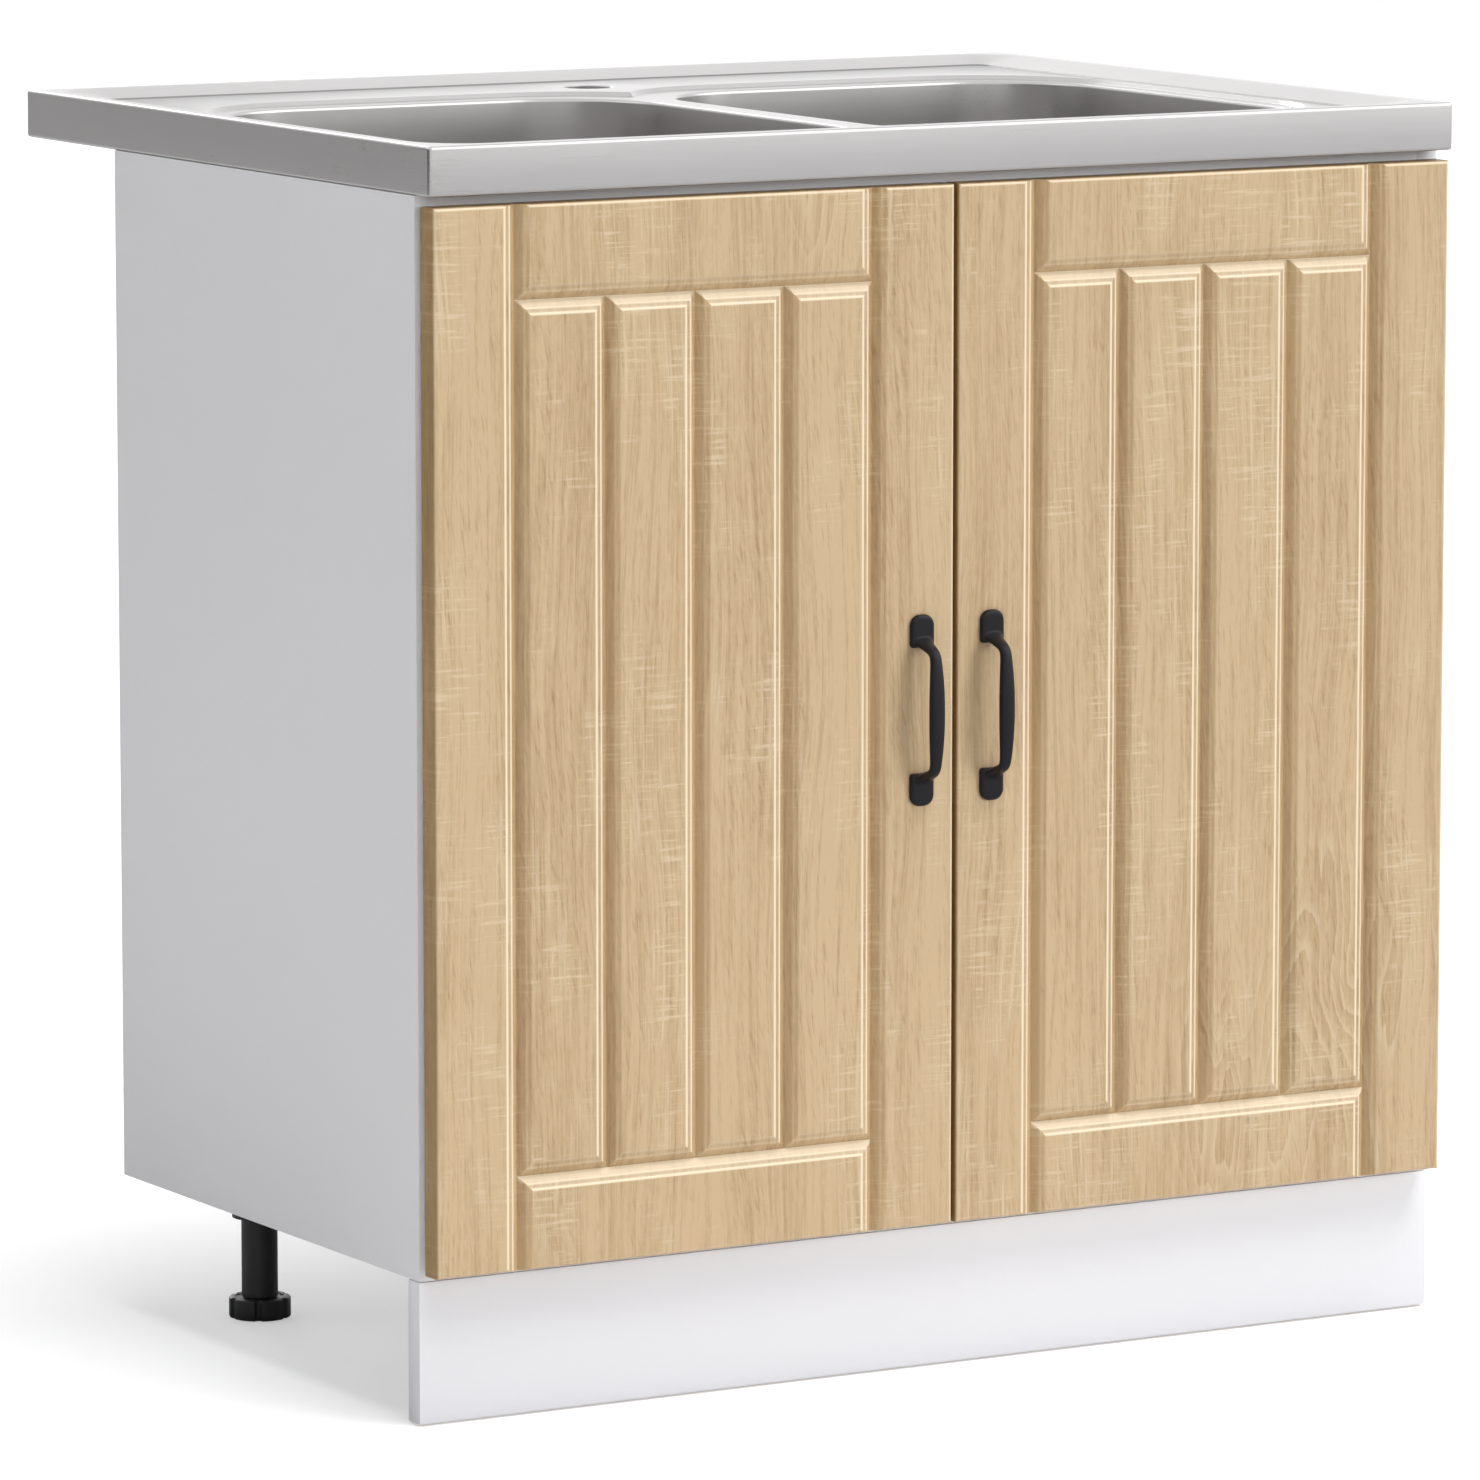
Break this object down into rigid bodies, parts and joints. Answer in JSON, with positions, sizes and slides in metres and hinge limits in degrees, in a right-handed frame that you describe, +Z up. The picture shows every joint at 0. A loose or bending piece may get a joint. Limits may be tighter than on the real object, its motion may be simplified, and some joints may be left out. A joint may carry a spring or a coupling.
{
  "type": "kitchen sink base cabinet",
  "caption": "Floor-standing kitchen base cabinet with grooved plank doors, bow handles, clip-on kick board, levelling legs and a lay-on steel sink with bowls and strainers.",
  "frame": {"origin": "on the floor, at the middle of the whole object's plan", "axes": "+X to the right seen from the front, -Y out of the doors towards the viewer, +Z up"},
  "size_m": [0.8, 0.625, 0.848],
  "materials": {
    "carcass_board": "white melamine film over chipboard, satin",
    "door_film": "light oak film over fibreboard, satin",
    "plinth_film": "pale grey film over chipboard, gloss",
    "handle_finish": "dark grey, satin",
    "sink_steel": "fine brushed stainless steel",
    "strainer_steel": "polished stainless steel",
    "gasket_rubber": "matt black rubber",
    "nut_plastic": "white plastic",
    "leg_plastic": "black plastic",
    "foot_plastic": "black plastic",
    "hinge_steel": "bright nickel-plated steel",
    "screw_steel": "zinc-plated steel",
    "cam_alloy": "bare die-cast alloy",
    "dowel_wood": "bare beech",
    "bumper_rubber": "clear soft rubber",
    "bracket_steel": "zinc-plated steel"
  },
  "bodies": {
    "carcass": {"left_side_panel": "carcass_board", "right_side_panel": "carcass_board", "bottom_panel": "carcass_board", "front_rail": "carcass_board", "rear_upper_rail": "carcass_board", "rear_lower_rail": "carcass_board", "cam_locks": "cam_alloy", "cam_bolts": "screw_steel", "dowels": "dowel_wood", "leg_sockets": "leg_plastic", "leg_tubes": "leg_plastic", "leg_screws": "screw_steel", "hinge_plate_screws": "screw_steel", "hinge_arm_pins": "hinge_steel", "sink_top": "sink_steel", "sink_brackets": "bracket_steel", "bracket_screws": "screw_steel", "left_hinge_plates": "hinge_steel", "left_hinge_arms": "hinge_steel", "left_bowl": "sink_steel", "left_strainer_body": "strainer_steel", "left_strainer_gasket": "gasket_rubber", "left_strainer_nut": "nut_plastic", "right_hinge_plates": "hinge_steel", "right_hinge_arms": "hinge_steel", "right_bowl": "sink_steel", "right_strainer_body": "strainer_steel", "right_strainer_gasket": "gasket_rubber", "right_strainer_nut": "nut_plastic"},
    "plinth": {"plinth_board": "plinth_film", "plinth_clips": "leg_plastic"},
    "front_left_foot": {"front_left_foot": "foot_plastic"},
    "front_right_foot": {"front_right_foot": "foot_plastic"},
    "rear_left_foot": {"rear_left_foot": "foot_plastic"},
    "rear_right_foot": {"rear_right_foot": "foot_plastic"},
    "left_links": {"left_hinge_links": "hinge_steel"},
    "left_door": {"left_door": "door_film", "left_handle": "handle_finish", "left_handle_screws": "screw_steel", "left_hinge_cups": "hinge_steel", "left_cup_pins": "hinge_steel", "left_cup_screws": "screw_steel", "left_door_bumpers": "bumper_rubber"},
    "left_basket": {"left_strainer_basket": "strainer_steel"},
    "right_links": {"right_hinge_links": "hinge_steel"},
    "right_door": {"right_door": "door_film", "right_handle": "handle_finish", "right_handle_screws": "screw_steel", "right_hinge_cups": "hinge_steel", "right_cup_pins": "hinge_steel", "right_cup_screws": "screw_steel", "right_door_bumpers": "bumper_rubber"},
    "right_basket": {"right_strainer_basket": "strainer_steel"}
  },
  "joints": [
    {"name": "left_link_swing", "type": "hinge", "parent": "carcass", "child": "left_links", "pos_m": [-0.363, -0.2775, 0.45475], "axis": [0, 0, 1], "range_deg": [0, 23.4]},
    {"name": "left_door_swing", "type": "hinge", "parent": "left_links", "child": "left_door", "pos_m": [-0.385, -0.2775, 0.45475], "axis": [0, 0, -1], "range_deg": [0, 113.4]},
    {"name": "left_basket_lift", "type": "slide", "parent": "carcass", "child": "left_basket", "axis": [0, 0, 1], "range_m": [0, 0.06]},
    {"name": "right_link_swing", "type": "hinge", "parent": "carcass", "child": "right_links", "pos_m": [0.363, -0.2775, 0.45475], "axis": [0, 0, -1], "range_deg": [0, 23.4]},
    {"name": "right_door_swing", "type": "hinge", "parent": "right_links", "child": "right_door", "pos_m": [0.385, -0.2775, 0.45475], "axis": [0, 0, 1], "range_deg": [0, 113.4]},
    {"name": "right_basket_lift", "type": "slide", "parent": "carcass", "child": "right_basket", "axis": [0, 0, 1], "range_m": [0, 0.06]},
    {"name": "plinth_pull", "type": "slide", "parent": "carcass", "child": "plinth", "axis": [0, -1, 0], "range_m": [0, 0.04]},
    {"name": "front_left_levelling", "type": "slide", "parent": "carcass", "child": "front_left_foot", "axis": [0, 0, -1], "range_m": [0, 0.015]},
    {"name": "front_right_levelling", "type": "slide", "parent": "carcass", "child": "front_right_foot", "axis": [0, 0, -1], "range_m": [0, 0.015]},
    {"name": "rear_left_levelling", "type": "slide", "parent": "carcass", "child": "rear_left_foot", "axis": [0, 0, -1], "range_m": [0, 0.015]},
    {"name": "rear_right_levelling", "type": "slide", "parent": "carcass", "child": "rear_right_foot", "axis": [0, 0, -1], "range_m": [0, 0.015]}
  ],
  "couplings": [
    {"joint": "left_link_swing", "follows": "left_door_swing", "ratio": 0.2063},
    {"joint": "right_link_swing", "follows": "right_door_swing", "ratio": 0.2063}
  ]
}
